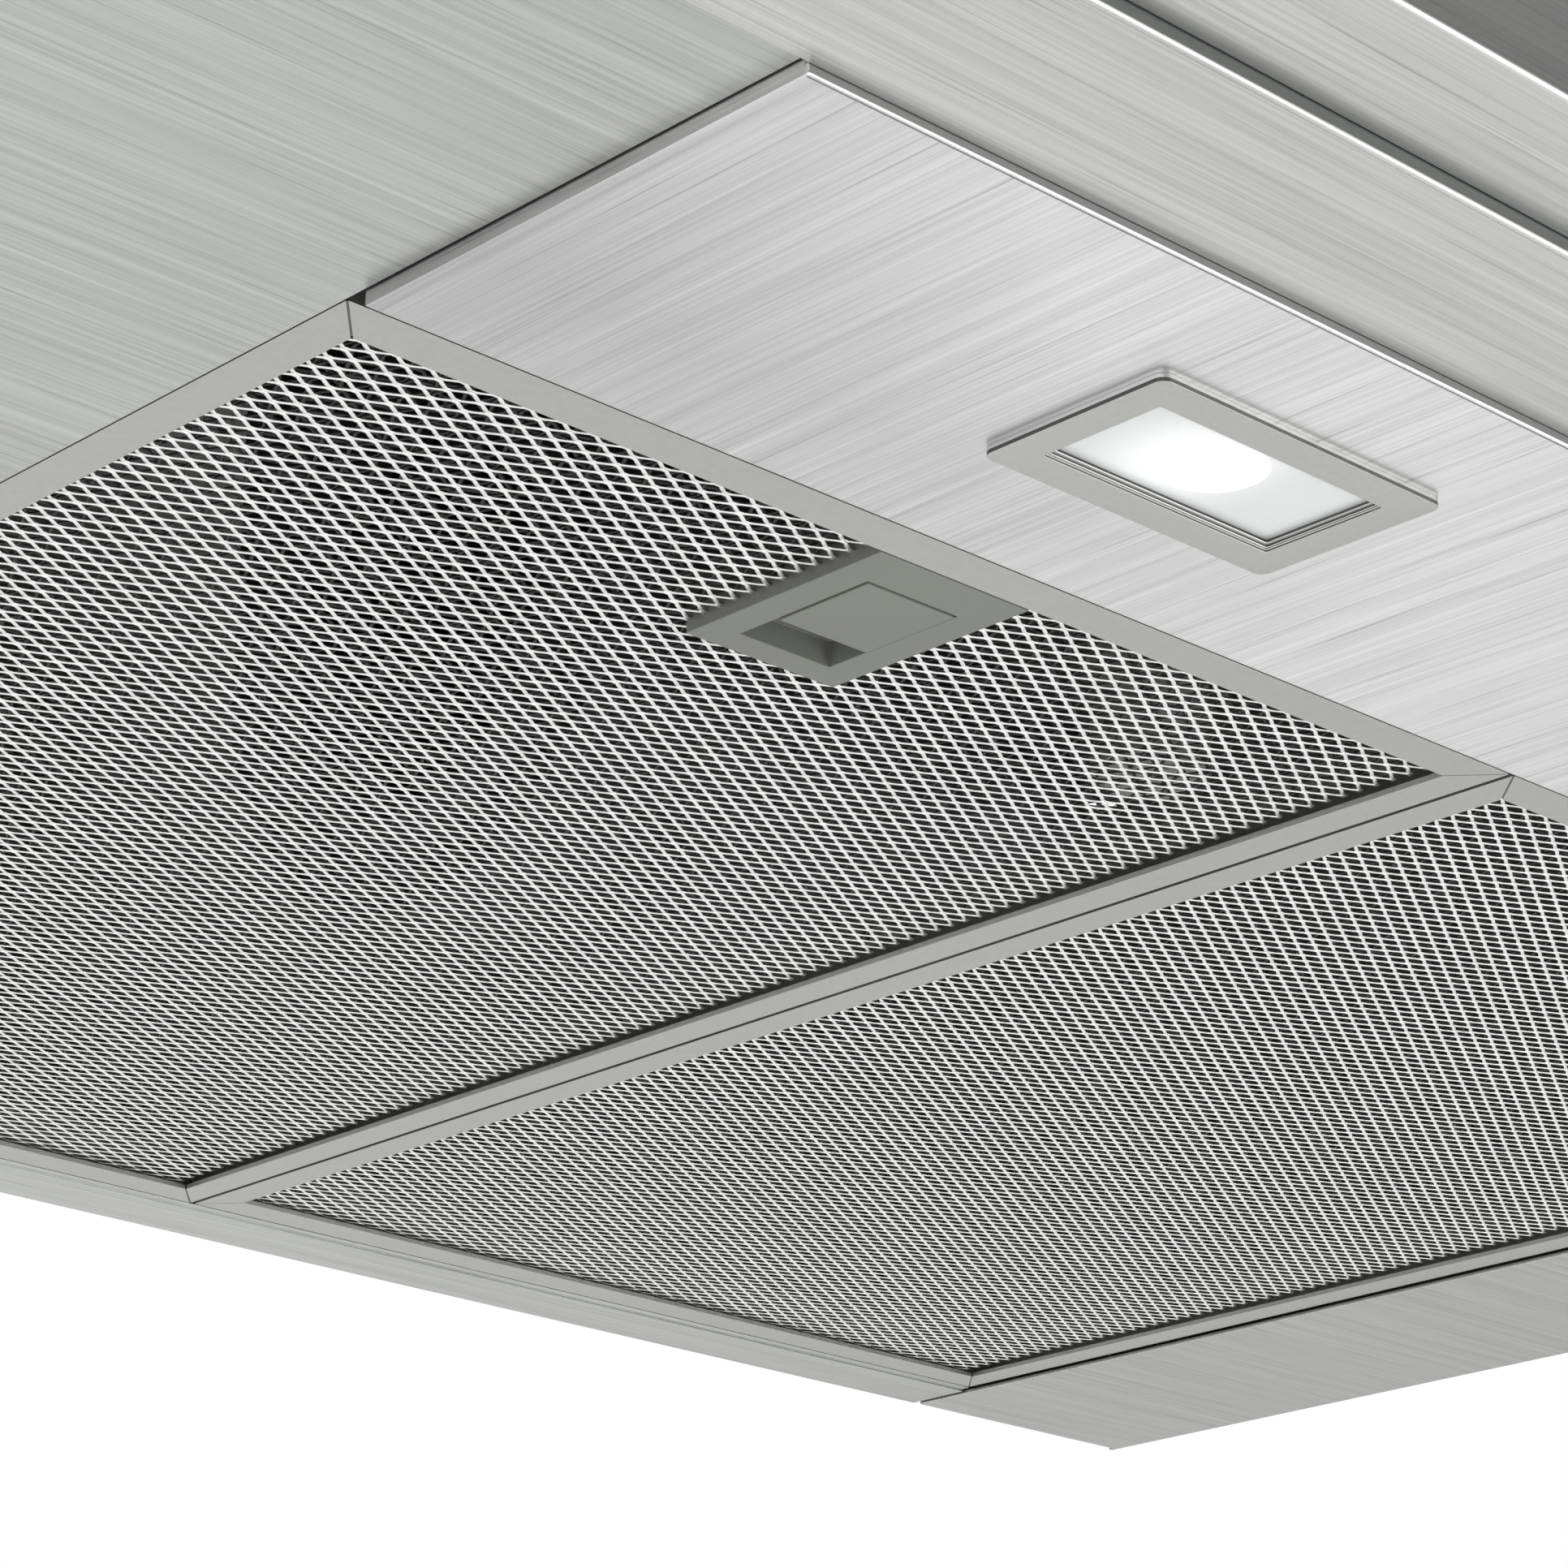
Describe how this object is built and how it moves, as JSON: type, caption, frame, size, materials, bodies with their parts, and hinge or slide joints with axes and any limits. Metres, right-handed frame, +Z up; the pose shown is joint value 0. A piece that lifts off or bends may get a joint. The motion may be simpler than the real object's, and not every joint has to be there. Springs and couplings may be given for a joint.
{
  "type": "under cabinet range hood",
  "caption": "Low sheet-steel range hood that hangs under a cabinet: hinged mesh grease filters with latches, lamp panel, blower, duct outlet with flaps and push buttons.",
  "frame": {"origin": "on the top deck's upper face, at mid width on the line of the rear hanging holes", "axes": "+X to the user's right when facing the wall, +Y to the wall, +Z up"},
  "size_m": [0.6, 0.491, 0.1962],
  "materials": {
    "brushed_steel": "brushed along the width",
    "lamp_panel_steel": "brushed front to back",
    "zinc_coated_steel": "dull zinc",
    "satin_aluminium": "satin",
    "expanded_aluminium": "bright, unpainted",
    "grey_plastic": "fine grain",
    "satin_nickel_trim": "satin",
    "frosted_lens": "frosted",
    "white_plastic": "satin",
    "black_plastic": "satin",
    "impeller_plastic": "satin",
    "motor_casing": "satin",
    "spring_steel": "bright"
  },
  "bodies": {
    "casing": {"top_deck": "brushed_steel", "rear_shell": "brushed_steel", "side_shell_left": "brushed_steel", "side_shell_right": "brushed_steel", "slope_panel": "brushed_steel", "front_fascia": "brushed_steel", "front_rail": "brushed_steel", "lamp_panel": "lamp_panel_steel", "keeper_rail": "zinc_coated_steel", "lamp_left_bezel": "satin_nickel_trim", "lamp_left_lens": "frosted_lens", "lamp_left_housing": "zinc_coated_steel", "lamp_left_source": "frosted_lens", "scroll_left": "black_plastic", "lamp_right_bezel": "satin_nickel_trim", "lamp_right_lens": "frosted_lens", "lamp_right_housing": "zinc_coated_steel", "lamp_right_source": "frosted_lens", "scroll_right": "black_plastic", "duct_collar": "black_plastic", "damper_pin": "spring_steel", "inlet_ring": "black_plastic", "motor": "motor_casing", "motor_bracket": "zinc_coated_steel", "capacitor": "white_plastic", "cable_gland": "black_plastic", "terminal_box": "white_plastic", "control_plate": "black_plastic", "switch_block": "white_plastic"},
    "filter_left": {"filter_left_rail_front": "satin_aluminium", "filter_left_rail_rear": "satin_aluminium", "filter_left_rail_west": "satin_aluminium", "filter_left_rail_east": "satin_aluminium", "filter_left_mesh": "expanded_aluminium", "filter_left_core": "expanded_aluminium", "filter_left_latch_housing": "grey_plastic", "filter_left_latch_spring": "spring_steel"},
    "catch_left": {"filter_left_latch_catch": "grey_plastic"},
    "filter_right": {"filter_right_rail_front": "satin_aluminium", "filter_right_rail_rear": "satin_aluminium", "filter_right_rail_west": "satin_aluminium", "filter_right_rail_east": "satin_aluminium", "filter_right_mesh": "expanded_aluminium", "filter_right_core": "expanded_aluminium", "filter_right_latch_housing": "grey_plastic", "filter_right_latch_spring": "spring_steel"},
    "catch_right": {"filter_right_latch_catch": "grey_plastic"},
    "button_lamp": {"button_lamp": "grey_plastic"},
    "button_low": {"button_low": "grey_plastic"},
    "button_medium": {"button_medium": "grey_plastic"},
    "button_high": {"button_high": "grey_plastic"},
    "rotor": {"impeller": "impeller_plastic", "motor_shaft": "spring_steel"},
    "flap_front": {"damper_flap_front": "black_plastic"},
    "flap_rear": {"damper_flap_rear": "black_plastic"}
  },
  "joints": [
    {"name": "filter_left_swing", "type": "hinge", "parent": "casing", "child": "filter_left", "pos_m": [-0.11465, 0.0279, -0.147], "axis": [1, 0, 0], "range_deg": [0, 40]},
    {"name": "catch_left_slide", "type": "slide", "parent": "filter_left", "child": "catch_left", "axis": [0, 1, 0], "range_m": [0, 0.007], "stiffness_N_per_m": 250, "springref_m": -0.004, "deforming": ["filter_left_latch_spring"]},
    {"name": "filter_right_swing", "type": "hinge", "parent": "casing", "child": "filter_right", "pos_m": [0.11465, 0.0279, -0.147], "axis": [1, 0, 0], "range_deg": [0, 40]},
    {"name": "catch_right_slide", "type": "slide", "parent": "filter_right", "child": "catch_right", "axis": [0, 1, 0], "range_m": [0, 0.007], "stiffness_N_per_m": 250, "springref_m": -0.004, "deforming": ["filter_right_latch_spring"]},
    {"name": "rotor_spin", "type": "hinge", "parent": "casing", "child": "rotor", "pos_m": [0, -0.105, -0.072], "axis": [1, 0, 0], "continuous": true},
    {"name": "flap_rear_swing", "type": "hinge", "parent": "casing", "child": "flap_rear", "pos_m": [0, -0.105, 0.012], "axis": [1, 0, 0], "range_deg": [0, 75]},
    {"name": "flap_front_swing", "type": "hinge", "parent": "casing", "child": "flap_front", "pos_m": [0, -0.105, 0.012], "axis": [-1, 0, 0], "range_deg": [0, 75]},
    {"name": "button_lamp_press", "type": "slide", "parent": "casing", "child": "button_lamp", "axis": [0, 1, 0], "range_m": [0, 0.002], "stiffness_N_per_m": 400, "springref_m": -0.0015},
    {"name": "button_low_press", "type": "slide", "parent": "casing", "child": "button_low", "axis": [0, 1, 0], "range_m": [0, 0.002], "stiffness_N_per_m": 400, "springref_m": -0.0015},
    {"name": "button_medium_press", "type": "slide", "parent": "casing", "child": "button_medium", "axis": [0, 1, 0], "range_m": [0, 0.002], "stiffness_N_per_m": 400, "springref_m": -0.0015},
    {"name": "button_high_press", "type": "slide", "parent": "casing", "child": "button_high", "axis": [0, 1, 0], "range_m": [0, 0.002], "stiffness_N_per_m": 400, "springref_m": -0.0015}
  ]
}
